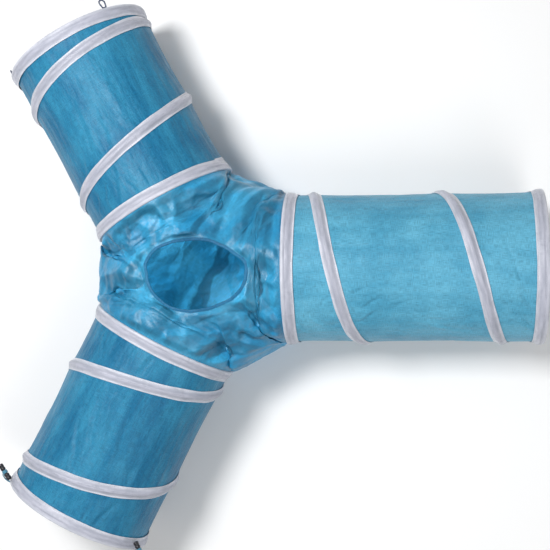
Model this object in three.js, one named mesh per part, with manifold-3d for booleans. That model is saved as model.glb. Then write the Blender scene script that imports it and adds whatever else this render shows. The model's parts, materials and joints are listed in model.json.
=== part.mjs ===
// A three-way pop-up play tunnel for cats and other small pets: three fabric arms, each held
// open by two spring-wire hoops and a spring-wire spiral between them, meet in a slack fabric
// hub with an oval peephole. Millimetres, +Z up. The origin is on the resting plane, under
// the point where the three arm axes cross.
import * as THREE from "three";
import { mergeVertices } from "three/addons/utils/BufferGeometryUtils.js";
import { LoftGeometry } from "three/addons/geometries/LoftGeometry.js";
import Module from "manifold-3d";

// ---- Driving dimensions ----
const ARM_RADIUS = 125; // over the tape
const REST_GAP = 0.2; // the hub's floor lies this much lower than the hoops
const FIT_GAP = 0.3; // between pieces that touch
const STATIONS = 24; // facets in one full turn
const SPIRAL_TURNS = 2.5;
const SPIRAL_EASE = 0.55; // 0 is an even pitch, 1 leaves the hoops with no pitch at all

// Turn is the arm's direction in plan, reach runs from the hub's middle to the first hoop,
// and length from hoop to hoop. The two left arms stand partly compressed.
const ARMS = [
  { name: "right_arm", turn: 0, reach: 149, length: 402, spiralStart: -150 },
  { name: "upper_left_arm", turn: 118.7, reach: 123, length: 305, spiralStart: -240 },
  { name: "lower_left_arm", turn: 242.6, reach: 130, length: 319, spiralStart: -180 },
];

const FABRIC_THICKNESS = 0.6;
const TAPE_THICKNESS = 0.8;
const POCKET_HEIGHT = 3.8; // between the fabric and the tape that covers a hoop
const WIRE_RADIUS = 0.8;
const WIRE_SIDES = 6;
const HOOP_TAPE_WIDTH = 20;
const HOOP_TAPE_TUCK = 14; // of the tape, on the inside of the tube
const SPIRAL_TAPE_WIDTH = 20;
const HOOP_TO_FOLD = 4; // from a hoop's wire to the end of the tube
const FERRULE_LENGTH = 12;
const FERRULE_WALL = 0.5;

const PEEPHOLE = { x: 13, y: -12, halfLength: 80, halfWidth: 57, height: 236 };
const BINDING_WIDTH = 6;
const BINDING_THICKNESS = 1.6;
const BINDING_GAP = 1.2; // from the binding to the panel, whose facets cut across the oval
const FLOOR_FLAT_RADIUS = 75;
const WALL_STEPS = 4; // along each short wall between two arms
const SEAM_GAP = 1.4; // between the two hub panels, where their short walls are sewn together
const PANEL_STEPS = 5; // from a panel's outer edge to its inner one

const TOGGLE_LENGTH = 30;
const TOGGLE_RADIUS = 4.2;
const TOGGLE_WAIST_RADIUS = 3;
const TAB_WIDTH = 5.5;
const TAB_THICKNESS = 1;
const LOOP_CORD_RADIUS = 1.2;
const LOOP_WIDTH = 10;
const LOOP_REACH = 16;

// Where the ties sit round an end hoop, in degrees up from the arm's left side.
const TOGGLES = [
  { name: "toggle_right_side", along: -10, outward: 140, round: 157, turn: -28, side: -1 },
  { name: "toggle_left_side", along: -5, outward: 140, round: 25, turn: 38, side: 1 },
];
const CORD_LOOPS = [
  { name: "cord_loop_left_side", round: 8 },
  { name: "cord_loop_upper_right", round: 131 },
];

// ---- Sizes that follow ----
const AXIS_HEIGHT = ARM_RADIUS + REST_GAP;
const TAPE_INNER = ARM_RADIUS - TAPE_THICKNESS;
const TUBE_OUTER = TAPE_INNER - POCKET_HEIGHT;
const TUBE_INNER = TUBE_OUTER - FABRIC_THICKNESS;
const WIRE_CIRCLE = TUBE_OUTER + POCKET_HEIGHT / 2;
const HUB_RADIUS = TUBE_OUTER + 2; // of the hub's fabric where it meets a hoop
const HUB_EDGE = HOOP_TO_FOLD + FIT_GAP; // from a hoop's wire back to the hub's fabric
const STATION_ANGLE = (2 * Math.PI) / STATIONS;

const wasm = await Module();
wasm.setup();

// ---- Materials ----
function fabric(color) {
  return () => new THREE.MeshStandardMaterial({ color, roughness: 0.42, metalness: 0 });
}
const rightTaffeta = fabric(0x58a5cd);
const leftTaffeta = fabric(0x3c82ac);
const hubTaffeta = fabric(0x3a8fc0);
const webbing = fabric(0x4a86ad);

function tape() {
  return new THREE.MeshStandardMaterial({ color: 0xcdd0da, roughness: 0.5, metalness: 0 });
}

function springSteel() {
  return new THREE.MeshStandardMaterial({ color: 0x9aa0a6, roughness: 0.35, metalness: 1 });
}

function crimpAluminium() {
  return new THREE.MeshStandardMaterial({ color: 0xc4c7ca, roughness: 0.4, metalness: 1 });
}

function blackPlastic() {
  return new THREE.MeshStandardMaterial({ color: 0x15161a, roughness: 0.35, metalness: 0 });
}

function navyCord() {
  return new THREE.MeshStandardMaterial({ color: 0x1d3a5c, roughness: 0.8, metalness: 0 });
}

// ---- Helpers ----
function radians(degrees) {
  return (degrees * Math.PI) / 180;
}

// A point of an arm: along its axis, and out from the axis at an angle up from its left side.
function armPoint(along, radius, angle) {
  return new THREE.Vector3(along, radius * Math.cos(angle), radius * Math.sin(angle));
}

function node(name, geometry, material) {
  const mesh = new THREE.Mesh(geometry, material);
  mesh.name = name;
  return mesh;
}

// A profile of [along, radius] points carried once round the arm's axis.
function ringGeometry(profile) {
  const sections = [];
  for (let i = 0; i <= STATIONS; i++)
    sections.push(profile.map(([s, r]) => armPoint(s, r, i * STATION_ANGLE)));
  return new LoftGeometry(sections);
}

// The same profile carried along the spiral, from one of its steps to another.
function spiralGeometry(arm, profile, firstStep, lastStep) {
  const sections = [];
  for (let i = firstStep; i <= lastStep; i++) {
    const { along, angle } = spiralPoint(arm, i);
    sections.push(profile.map(([s, r]) => armPoint(along + s, r, angle)));
  }
  return new LoftGeometry(sections, { capStart: true, capEnd: true });
}

const SPIRAL_STEPS = SPIRAL_TURNS * STATIONS;

// The spiral leaves the first hoop slowly, runs fastest halfway and joins the last one slowly.
function spiralPoint(arm, step) {
  const share = step / SPIRAL_STEPS;
  const eased = share - (SPIRAL_EASE / (2 * Math.PI)) * Math.sin(2 * Math.PI * share);
  const besideHoop = 2 * WIRE_RADIUS + 2 * FIT_GAP;
  return {
    along: besideHoop + eased * (arm.length - 2 * besideHoop),
    angle: radians(arm.spiralStart) + step * STATION_ANGLE,
  };
}

function wireProfile() {
  const points = [];
  for (let i = 0; i < WIRE_SIDES; i++) {
    const a = (i / WIRE_SIDES) * 2 * Math.PI;
    points.push([WIRE_RADIUS * Math.cos(a), WIRE_CIRCLE + WIRE_RADIUS * Math.sin(a)]);
  }
  return points;
}

function toManifold(geometry) {
  const bare = new THREE.BufferGeometry().copy(geometry);
  bare.deleteAttribute("normal");
  bare.deleteAttribute("uv");
  const merged = mergeVertices(bare);
  return new wasm.Manifold(
    new wasm.Mesh({
      numProp: 3,
      vertProperties: merged.attributes.position.array,
      triVerts: new Uint32Array(merged.index.array),
    }),
  );
}

function toGeometry(solid) {
  const mesh = solid.getMesh();
  return new THREE.BufferGeometry()
    .setAttribute("position", new THREE.BufferAttribute(mesh.vertProperties, 3))
    .setIndex(new THREE.BufferAttribute(mesh.triVerts, 1));
}

// ---- An arm's pieces ----

// Tape folded over the end of the tube. Its open side faces the middle of the arm, so the
// spiral's wire can run out from beside the hoop. Inward is +1 at the first hoop, -1 at the last.
function hoopTape(hoopAt, inward) {
  const fold = HOOP_TO_FOLD - TAPE_THICKNESS;
  const legInner = TUBE_INNER - 2 * FIT_GAP;
  const profile = [
    [HOOP_TAPE_WIDTH - HOOP_TO_FOLD, ARM_RADIUS],
    [-fold, ARM_RADIUS],
    [-HOOP_TO_FOLD, TAPE_INNER],
    [-HOOP_TO_FOLD, legInner],
    [-fold, legInner - TAPE_THICKNESS],
    [HOOP_TAPE_TUCK - HOOP_TO_FOLD, legInner - TAPE_THICKNESS],
    [HOOP_TAPE_TUCK - HOOP_TO_FOLD, legInner],
    [-fold, legInner],
    [-fold, TAPE_INNER],
    [HOOP_TAPE_WIDTH - HOOP_TO_FOLD, TAPE_INNER],
  ].map(([s, r]) => [hoopAt + inward * s, r]);
  return ringGeometry(inward > 0 ? profile : profile.reverse());
}

function hoopWire(hoopAt) {
  return ringGeometry(wireProfile().map(([s, r]) => [hoopAt + s, r]));
}

// The crimped sleeve that closes a hoop, on the facet beside the hoop's lowest point.
function ferrule(name, hoopAt) {
  const inner = WIRE_RADIUS + FIT_GAP;
  const outer = inner + FERRULE_WALL;
  const half = FERRULE_LENGTH / 2;
  const sleeve = new THREE.LatheGeometry(
    [
      [inner, -half],
      [outer, -half],
      [outer, half],
      [inner, half],
      [inner, -half],
    ].map(([r, y]) => new THREE.Vector2(r, y)),
    10,
  );
  const angle = -Math.PI / 2 + STATION_ANGLE / 2;
  const mesh = node(name, sleeve, crimpAluminium());
  mesh.position.copy(armPoint(hoopAt, WIRE_CIRCLE * Math.cos(STATION_ANGLE / 2), angle));
  mesh.rotation.x = angle + Math.PI / 2;
  return mesh;
}

function tubeFabric(arm) {
  const start = -HOOP_TO_FOLD + TAPE_THICKNESS + 2 * FIT_GAP;
  return ringGeometry([
    [arm.length - start, TUBE_OUTER],
    [start, TUBE_OUTER],
    [start, TUBE_INNER],
    [arm.length - start, TUBE_INNER],
  ]);
}

function spiralWire(arm) {
  return spiralGeometry(arm, wireProfile(), 0, SPIRAL_STEPS);
}

// Tape sewn to the tube on both sides of the spiral's wire, with a ridge over the wire.
function spiralTape(arm) {
  const half = SPIRAL_TAPE_WIDTH / 2;
  const flangeInner = TUBE_OUTER + FIT_GAP;
  const flangeOuter = flangeInner + TAPE_THICKNESS;
  const channel = WIRE_RADIUS + 2 * FIT_GAP;
  const ridgeInner = WIRE_CIRCLE + WIRE_RADIUS + FIT_GAP;
  const ridgeOuter = ridgeInner + TAPE_THICKNESS;
  const profile = [
    [half, flangeOuter],
    [channel + TAPE_THICKNESS, flangeOuter],
    [channel, ridgeOuter],
    [-channel, ridgeOuter],
    [-channel - TAPE_THICKNESS, flangeOuter],
    [-half, flangeOuter],
    [-half, flangeInner],
    [-channel, flangeInner],
    [-channel, ridgeInner],
    [channel, ridgeInner],
    [channel, flangeInner],
    [half, flangeInner],
  ];
  const clear = HOOP_TAPE_WIDTH - HOOP_TO_FOLD + half + FIT_GAP;
  const steps = [...Array(SPIRAL_STEPS + 1).keys()].filter((i) => {
    const { along } = spiralPoint(arm, i);
    return along > clear && along < arm.length - clear;
  });
  return spiralGeometry(arm, profile, steps[0], steps[steps.length - 1]);
}

function buildArm(arm) {
  const group = new THREE.Group();
  group.rotation.z = radians(arm.turn);
  group.position.set(arm.reach, 0, AXIS_HEIGHT).applyAxisAngle(
    new THREE.Vector3(0, 0, 1),
    radians(arm.turn),
  );
  for (const [end, at, inward] of [["hub", 0, 1], ["end", arm.length, -1]]) {
    const hoop = `${arm.name}_${end}_hoop`;
    group.add(node(`${hoop}_wire`, hoopWire(at), springSteel()));
    group.add(ferrule(`${hoop}_ferrule`, at));
    group.add(node(`${hoop}_tape`, hoopTape(at, inward), tape()));
  }
  const taffeta = arm.turn === 0 ? rightTaffeta : leftTaffeta;
  group.add(node(`${arm.name}_tube_fabric`, tubeFabric(arm), taffeta()));
  group.add(node(`${arm.name}_spiral_wire`, spiralWire(arm), springSteel()));
  group.add(node(`${arm.name}_spiral_tape`, spiralTape(arm), tape()));
  return group;
}

// ---- Ties at the ends of the left arms ----

// A barrel with a waist, turned about Y, which its fabric tab goes round.
function toggleBarrel() {
  const half = TOGGLE_LENGTH / 2;
  const waist = TAB_WIDTH / 2 + FIT_GAP;
  const profile = [
    [0, -half],
    [TOGGLE_RADIUS * 0.6, -half],
    [TOGGLE_RADIUS, -half + 2],
    [TOGGLE_RADIUS, -waist - 1.5],
    [TOGGLE_WAIST_RADIUS, -waist],
    [TOGGLE_WAIST_RADIUS, waist],
    [TOGGLE_RADIUS, waist + 1.5],
    [TOGGLE_RADIUS, half - 2],
    [TOGGLE_RADIUS * 0.6, half],
    [0, half],
  ];
  return new THREE.LatheGeometry(
    profile.map(([r, y]) => new THREE.Vector2(r, y)),
    12,
  );
}

// The fabric tab: a ring round the toggle's waist, and a strip from it to the hoop's fold.
function toggleTab(toggleAt, turnTo, foldAt, bulgeAt) {
  const inner = TOGGLE_WAIST_RADIUS + FIT_GAP;
  const outer = inner + TAB_THICKNESS;
  const half = TAB_WIDTH / 2;
  const ring = new THREE.LatheGeometry(
    [
      [inner, -half],
      [outer, -half],
      [outer, half],
      [inner, half],
      [inner, -half],
    ].map(([r, y]) => new THREE.Vector2(r, y)),
    12,
  );
  ring.applyQuaternion(turnTo).translate(toggleAt.x, toggleAt.y, toggleAt.z);
  const axis = new THREE.Vector3(0, 1, 0).applyQuaternion(turnTo);
  const away = new THREE.Vector3().subVectors(bulgeAt, toggleAt);
  away.addScaledVector(axis, -away.dot(axis)).normalize();
  const ringSide = toggleAt.clone().addScaledVector(away, outer - TAB_THICKNESS / 3);
  const path = new THREE.QuadraticBezierCurve3(ringSide, bulgeAt, foldAt);
  const steps = 6;
  const sections = path.getSpacedPoints(steps).map((point, i) => {
    const tangent = path.getTangentAt(i / steps);
    const flat = new THREE.Vector3().crossVectors(tangent, axis).normalize();
    return [
      [1, 1],
      [-1, 1],
      [-1, -1],
      [1, -1],
    ].map(([u, v]) =>
      point
        .clone()
        .addScaledVector(axis, (u * TAB_WIDTH) / 2)
        .addScaledVector(flat, (v * TAB_THICKNESS) / 2),
    );
  });
  const strip = new LoftGeometry(sections, { capStart: true, capEnd: true });
  return toGeometry(toManifold(ring).add(toManifold(strip)));
}

function buildToggle(arm, tie) {
  const at = armPoint(arm.length + tie.along, tie.outward, radians(tie.round));
  const turn = radians(tie.turn);
  const along = new THREE.Vector3(Math.sin(turn), tie.side * Math.cos(turn), 0);
  const turnTo = new THREE.Quaternion().setFromUnitVectors(new THREE.Vector3(0, 1, 0), along);
  const round = radians(90 - tie.side * 76);
  const clear = arm.length + HOOP_TO_FOLD + TAB_WIDTH / 2 + 2 * FIT_GAP;
  const foldAt = armPoint(clear, ARM_RADIUS - 2, round);
  const bulgeAt = armPoint(clear, tie.outward, round);
  const barrel = node(`${arm.name}_${tie.name}`, toggleBarrel(), blackPlastic());
  barrel.quaternion.copy(turnTo);
  barrel.position.copy(at);
  const tab = toggleTab(at, turnTo, foldAt, bulgeAt);
  return [barrel, node(`${arm.name}_${tie.name}_tab`, tab, webbing())];
}

// A closed loop of cord that stands out of the end hoop's fold, across the arm's axis.
function buildCordLoop(arm, tie) {
  const corner = LOOP_WIDTH / 2;
  const base = LOOP_CORD_RADIUS;
  const far = LOOP_REACH - LOOP_CORD_RADIUS;
  const points = [];
  const bends = 6;
  for (let i = 0; i <= bends; i++) {
    const a = (i / bends) * Math.PI;
    points.push([far - corner + corner * Math.sin(a), corner * Math.cos(a)]);
  }
  points.push([base, -corner * 0.6], [base, corner * 0.6]);
  const round = radians(tie.round);
  const start = arm.length + HOOP_TO_FOLD + FIT_GAP;
  const centre = armPoint(start, TUBE_OUTER, round);
  const across = new THREE.Vector3(0, -Math.sin(round), Math.cos(round));
  const outward = new THREE.Vector3(0, Math.cos(round), Math.sin(round));
  const ahead = new THREE.Vector3(1, 0, 0);
  const path = points.map(([s, w]) =>
    centre.clone().addScaledVector(ahead, s).addScaledVector(across, w),
  );
  const sides = 6;
  const sections = path.map((point, i) => {
    const next = path[(i + 1) % path.length];
    const last = path[(i + path.length - 1) % path.length];
    const tangent = new THREE.Vector3().subVectors(next, last).normalize();
    const sideways = new THREE.Vector3().crossVectors(tangent, outward);
    return [...Array(sides).keys()].map((k) => {
      const a = (k / sides) * 2 * Math.PI;
      return point
        .clone()
        .addScaledVector(outward, LOOP_CORD_RADIUS * Math.cos(a))
        .addScaledVector(sideways, LOOP_CORD_RADIUS * Math.sin(a));
    });
  });
  sections.push(sections[0]);
  return node(`${arm.name}_${tie.name}`, new LoftGeometry(sections), navyCord());
}

// ---- The hub ----

// The edge that a hub panel is sewn to, as a closed round of stations. Up is +1 for the top
// panel, which takes the upper half of each hoop, and -1 for the floor.
function hubEdge(up) {
  const stations = [];
  const sidePoint = (arm, side) =>
    hoopStation(arm, side > 0 ? 0 : Math.PI, up).point;
  ARMS.forEach((arm, index) => {
    const nextArm = ARMS[(index + 1) % ARMS.length];
    for (let i = 0; i < STATIONS / 2; i++)
      stations.push(hoopStation(arm, Math.PI - i * STATION_ANGLE, up));
    const from = sidePoint(arm, 1);
    const to = sidePoint(nextArm, -1);
    for (let i = 0; i < WALL_STEPS; i++)
      stations.push({
        point: from.clone().lerp(to, i / WALL_STEPS),
        leave: new THREE.Vector3(0, 0, up),
      });
  });
  return stations;
}

// A point of a hoop's half, and the way the fabric leaves it: level at the top of the hoop,
// and turning up or down towards its sides.
function hoopStation(arm, angle, up) {
  const turn = radians(arm.turn);
  const z = new THREE.Vector3(0, 0, 1);
  const back = new THREE.Vector3(-1, 0, 0).applyAxisAngle(z, turn);
  const point = new THREE.Vector3(arm.reach - HUB_EDGE, HUB_RADIUS * Math.cos(angle), 0);
  point.applyAxisAngle(z, turn);
  point.z = AXIS_HEIGHT + up * (SEAM_GAP / 2 + HUB_RADIUS * Math.sin(angle));
  const leave = back.addScaledVector(z, up * (1 - Math.sin(angle))).normalize();
  return { point, leave };
}

// One skin of a hub panel: loops of points from the outer edge to the inner one, whose points
// are evenly spaced. innerPoint gives the inner edge's point for a direction in plan.
function panelSkin(up, innerPoint, pull) {
  const stations = hubEdge(up);
  const firstBearing = Math.atan2(stations[0].point.y, stations[0].point.x);
  const curves = stations.map(({ point, leave }, j) => {
    const bearing = firstBearing + (j / stations.length) * 2 * Math.PI;
    const inner = innerPoint(bearing);
    const outward = new THREE.Vector3(Math.cos(bearing), Math.sin(bearing), 0);
    return new THREE.CubicBezierCurve3(
      point,
      point.clone().addScaledVector(leave, pull),
      inner.clone().addScaledVector(outward, pull * 0.6),
      inner,
    );
  });
  return [...Array(PANEL_STEPS + 1).keys()].map((i) =>
    curves.map((curve) => curve.getPoint(i / PANEL_STEPS)),
  );
}

// A skin moved square to itself by the fabric's thickness, towards the inside of the hub.
function innerSkin(loops, up) {
  const count = loops[0].length;
  return loops.map((loop, i) =>
    loop.map((p, j) => {
      const across = new THREE.Vector3().subVectors(
        loops[Math.min(i + 1, PANEL_STEPS)][j],
        loops[Math.max(i - 1, 0)][j],
      );
      const round = new THREE.Vector3().subVectors(
        loop[(j + 1) % count],
        loop[(j + count - 1) % count],
      );
      const inward = across.cross(round).normalize().multiplyScalar(up);
      return p.clone().addScaledVector(inward, FABRIC_THICKNESS);
    }),
  );
}

// The shell between two skins of matching loops. Both skins are cut along the same diagonals,
// so they stay the fabric's thickness apart. Where middles are given, one for each skin, the
// last loops close to those points instead of meeting each other.
function shellGeometry(skins, middles) {
  const count = skins[0][0].length;
  const last = skins[0].length - 1;
  const at = (skin, i, j) => (skin * (last + 1) + i) * count + (j % count);
  const points = [...skins.flat(2), ...(middles ?? [])];
  const index = [];
  const quad = (a, b, c, d) => index.push(a, b, c, a, c, d);
  for (let j = 0; j < count; j++) {
    for (let i = 0; i < last; i++) {
      quad(at(0, i, j), at(0, i, j + 1), at(0, i + 1, j + 1), at(0, i + 1, j));
      const [a, b, c, d] = [at(1, i, j), at(1, i, j + 1), at(1, i + 1, j + 1), at(1, i + 1, j)];
      index.push(a, c, b, a, d, c);
    }
    quad(at(0, 0, j + 1), at(0, 0, j), at(1, 0, j), at(1, 0, j + 1));
    if (middles) {
      index.push(at(0, last, j), at(0, last, j + 1), points.length - 2);
      index.push(at(1, last, j + 1), at(1, last, j), points.length - 1);
    } else quad(at(0, last, j), at(0, last, j + 1), at(1, last, j + 1), at(1, last, j));
  }
  const geometry = new THREE.BufferGeometry().setFromPoints(points);
  geometry.setIndex(index);
  geometry.computeVertexNormals();
  return geometry;
}

function hubTopPanel() {
  const clear = BINDING_WIDTH / 2 + BINDING_GAP;
  const outer = panelSkin(1, (bearing) => peepholeEdge(bearing, clear), 62);
  return shellGeometry([outer, innerSkin(outer, 1)]);
}

// A point beside the peephole's edge, a distance out from it, in a direction in plan.
function peepholeEdge(bearing, out) {
  return new THREE.Vector3(
    PEEPHOLE.x + (PEEPHOLE.halfLength + out) * Math.cos(bearing),
    PEEPHOLE.y + (PEEPHOLE.halfWidth + out) * Math.sin(bearing),
    PEEPHOLE.height,
  );
}

// The folded tape round the peephole's edge.
function peepholeBinding() {
  const sections = [];
  for (let i = 0; i <= 2 * STATIONS; i++) {
    const bearing = (i * STATION_ANGLE) / 2;
    sections.push(
      [
        [-1, 1],
        [1, 1],
        [1, -1],
        [-1, -1],
      ].map(([u, v]) => {
        const p = peepholeEdge(bearing, (u * BINDING_WIDTH) / 2);
        p.z += (v * BINDING_THICKNESS) / 2;
        return p;
      }),
    );
  }
  return new LoftGeometry(sections);
}

function hubFloorPanel() {
  const flat = (bearing) =>
    new THREE.Vector3(
      FLOOR_FLAT_RADIUS * Math.cos(bearing),
      FLOOR_FLAT_RADIUS * Math.sin(bearing),
      0,
    );
  const under = panelSkin(-1, flat, 62);
  const above = innerSkin(under, -1);
  above[PANEL_STEPS].forEach((p, i) =>
    p.copy(under[PANEL_STEPS][i]).setZ(FABRIC_THICKNESS),
  );
  const middles = [new THREE.Vector3(), new THREE.Vector3(0, 0, FABRIC_THICKNESS)];
  return shellGeometry([above, under], middles.reverse());
}

// ---- Assembly ----
const tunnel = new THREE.Group();
tunnel.add(node("hub_top_panel", hubTopPanel(), hubTaffeta()));
tunnel.add(node("hub_floor_panel", hubFloorPanel(), hubTaffeta()));
tunnel.add(node("peephole_binding", peepholeBinding(), hubTaffeta()));
const armGroups = ARMS.map(buildArm);
armGroups.forEach((group) => tunnel.add(group));
CORD_LOOPS.forEach((tie) => armGroups[1].add(buildCordLoop(ARMS[1], tie)));
TOGGLES.forEach((tie) => armGroups[2].add(...buildToggle(ARMS[2], tie)));

export default tunnel;
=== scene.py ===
import json
import math

import bpy
import numpy as np
from mathutils import Matrix, Vector


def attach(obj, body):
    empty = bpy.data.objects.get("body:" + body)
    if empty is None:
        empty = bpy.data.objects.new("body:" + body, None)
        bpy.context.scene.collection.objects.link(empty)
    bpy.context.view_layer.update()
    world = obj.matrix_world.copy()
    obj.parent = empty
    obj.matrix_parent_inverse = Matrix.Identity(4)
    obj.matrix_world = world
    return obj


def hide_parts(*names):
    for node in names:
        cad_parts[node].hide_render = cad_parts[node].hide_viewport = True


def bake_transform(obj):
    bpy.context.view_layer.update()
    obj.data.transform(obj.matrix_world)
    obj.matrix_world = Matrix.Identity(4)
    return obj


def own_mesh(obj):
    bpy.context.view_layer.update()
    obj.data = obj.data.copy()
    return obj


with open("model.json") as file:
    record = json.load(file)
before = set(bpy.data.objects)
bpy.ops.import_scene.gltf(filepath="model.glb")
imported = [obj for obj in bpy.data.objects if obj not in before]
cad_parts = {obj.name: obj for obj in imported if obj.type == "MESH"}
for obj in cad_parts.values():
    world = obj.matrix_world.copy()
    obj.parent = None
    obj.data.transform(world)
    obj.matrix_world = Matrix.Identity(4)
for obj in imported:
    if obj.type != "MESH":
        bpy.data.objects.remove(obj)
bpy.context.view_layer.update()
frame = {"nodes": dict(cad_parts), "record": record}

# ---- Sizes, in metres ----
AXIS_HEIGHT = 0.1252
TUBE_RADIUS = 0.1202
CLOTH_THICKNESS = 0.0004
TAPE_RADIUS = 0.1250
WIRE_CIRCLE = 0.1223
WIRE_RADIUS = 0.0008
HOOP_TO_FOLD = 0.004
HOOP_TAPE_REACH = 0.016
STACK_HEIGHT = 0.034
TURN = 2 * math.pi
SPIRAL_TURN = 2.5 * TURN
SPIRAL_EASE = 0.55
SPIRAL_START = {"right_arm": -150, "upper_left_arm": -240, "lower_left_arm": -180}
HUB_RADIUS = 0.1224
HUB_EDGE = 0.0043
PEEPHOLE = {"x": 0.013, "y": -0.012, "half_x": 0.080, "half_y": 0.057, "z": 0.236}
FLOOR_FLAT_RADIUS = 0.075
# How high the hub floor's cloth lies.
CLOTH_REST = 0.0006

RECORD = frame["record"]
JOINTS = {j["name"]: j for j in RECORD["behaviour"]["joints"]}
UP = np.array([0.0, 0.0, 1.0])


def round_angles(count):
    """Even angles once round."""
    return np.linspace(0, TURN, count, endpoint=False)


def unit(vectors):
    return vectors / np.linalg.norm(vectors, axis=1, keepdims=True)


class Arm:
    """One arm's place: the hub hoop's centre, the way out along it, and its length from hoop to hoop."""

    def __init__(self, name):
        self.name = name
        slide = JOINTS[name + "_collapse"]
        place = JOINTS[name + "_swing"]["pos_m"]
        self.centre = np.array([place[0], place[1], AXIS_HEIGHT])
        self.out = -np.array(slide["axis"], float)
        self.left = np.array([-self.out[1], self.out[0], 0.0])
        self.length = slide["range_m"][1] + STACK_HEIGHT
        self.reach = float(np.linalg.norm(self.centre[:2]))
        self.start = math.radians(SPIRAL_START[name])

    def points(self, s, r, theta):
        s, r, theta = np.broadcast_arrays(s, r, theta)
        return (
            self.centre
            + s[..., None] * self.out
            + (r * np.cos(theta))[..., None] * self.left
            + (r * np.sin(theta))[..., None] * UP
        )

    def along(self, turned):
        """How far out the spiral is after it has turned by an angle."""
        share = turned / SPIRAL_TURN
        eased = share - SPIRAL_EASE / TURN * np.sin(TURN * share)
        return 0.0022 + eased * (self.length - 0.0044)


ARMS = [Arm(n) for n in ("right_arm", "upper_left_arm", "lower_left_arm")]


# ---- Mesh helpers ----
def lattice(x, y, seed, wrap=None):
    """Smooth noise from -1 to 1 at points (x, y), in cells. It repeats in x after wrap cells."""
    table = np.random.default_rng(seed).uniform(-1, 1, (256, 256))
    xi, yi = np.floor(x).astype(int), np.floor(y).astype(int)
    u, v = x - xi, y - yi
    u, v = u * u * (3 - 2 * u), v * v * (3 - 2 * v)
    wrap = wrap or 256
    a, b = (xi % wrap) % 256, ((xi + 1) % wrap) % 256
    c, d = yi % 256, (yi + 1) % 256
    low = table[a, c] * (1 - u) + table[b, c] * u
    high = table[a, d] * (1 - u) + table[b, d] * u
    return low * (1 - v) + high * v


def square(half, height):
    """The corners of a level square."""
    return [(x * half, y * half, height) for x, y in ((-1, -1), (1, -1), (1, 1), (-1, 1))]


def ridged(noise, sharp=2.0):
    """Turns noise into narrow ridges, 1 at their tops."""
    return (1 - np.abs(noise)) ** sharp


def smooth_step(low, high, x):
    t = np.clip((x - low) / (high - low), 0, 1)
    return t * t * (3 - 2 * t)


def added(name, data):
    """A new object in the scene."""
    made = bpy.data.objects.new(name, data)
    bpy.context.collection.objects.link(made)
    return made


def piece(name, points, faces, material, attributes=None, normals=None):
    """A smooth-shaded mesh object from arrays of points and lists of faces."""
    mesh = bpy.data.meshes.new(name)
    corners = np.asarray(points, float).reshape(-1, 3).tolist()
    mesh.from_pydata(corners, [], [list(map(int, f)) for f in faces])
    mesh.validate()
    mesh.shade_smooth()
    for key, values in (attributes or {}).items():
        attribute = mesh.attributes.new(key, "FLOAT_VECTOR", "POINT")
        attribute.data.foreach_set("vector", np.asarray(values, np.float32).reshape(-1))
    if normals is not None:
        mesh.normals_split_custom_set_from_vertices(np.asarray(normals, float).tolist())
    mesh.materials.append(material)
    return added(name, mesh)


def grid_faces(rows, columns, closed_rows=False, closed_columns=True, start=0):
    """Quads of a grid of points stored row by row."""
    i = np.arange(rows if closed_rows else rows - 1)
    j = np.arange(columns if closed_columns else columns - 1)
    i, j = np.meshgrid(i, j, indexing="ij")
    i2, j2 = (i + 1) % rows, (j + 1) % columns
    quads = np.stack([i * columns + j, i * columns + j2, i2 * columns + j2, i2 * columns + j], -1)
    return (quads.reshape(-1, 4) + start).tolist()


def swept(sections):
    """Points and faces of a tube through sections, an array of rounds of points, open with capped ends."""
    count, sides = sections.shape[:2]
    faces = grid_faces(count, sides)
    faces.append(list(range(sides))[::-1])
    faces.append([(count - 1) * sides + k for k in range(sides)])
    return sections.reshape(-1, 3), faces


def join(parts):
    """One list of points and faces from several."""
    points, faces, offset = [], [], 0
    for p, f in parts:
        points.append(np.asarray(p, float).reshape(-1, 3))
        faces.extend([[k + offset for k in face] for face in f])
        offset += len(points[-1])
    return np.concatenate(points), faces


def stitches(path, across, outward, pitch=0.0036, length=0.0024, width=0.0005, rise=0.0002):
    """Small spindles of thread laid end to end along a path of closely spaced points."""
    steps = np.linalg.norm(np.diff(path, axis=0), axis=1)
    far = np.concatenate([[0], np.cumsum(steps)])
    count = max(int(far[-1] / pitch), 1)
    middle = (np.arange(count) + 0.5) * far[-1] / count

    def at(values, where):
        return np.stack([np.interp(where, far, values[:, k]) for k in range(3)], -1)

    out = at(outward, middle)
    side = at(across, middle)
    start, mid, end = (at(path, middle + k * length / 2) for k in (-1, 0, 1))
    points = np.stack(
        [
            start - out * 0.0001,
            mid + side * width / 2,
            mid + out * rise,
            mid - side * width / 2,
            end - out * 0.0001,
            mid - out * 0.0002,
        ],
        1,
    )
    shape = [(0, 1, 2), (0, 2, 3), (4, 2, 1), (4, 3, 2), (0, 5, 1), (0, 3, 5), (4, 1, 5), (4, 5, 3)]
    base = np.arange(count)[:, None, None] * 6
    return points.reshape(-1, 3), (base + np.array(shape)).reshape(-1, 3).tolist()


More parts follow.
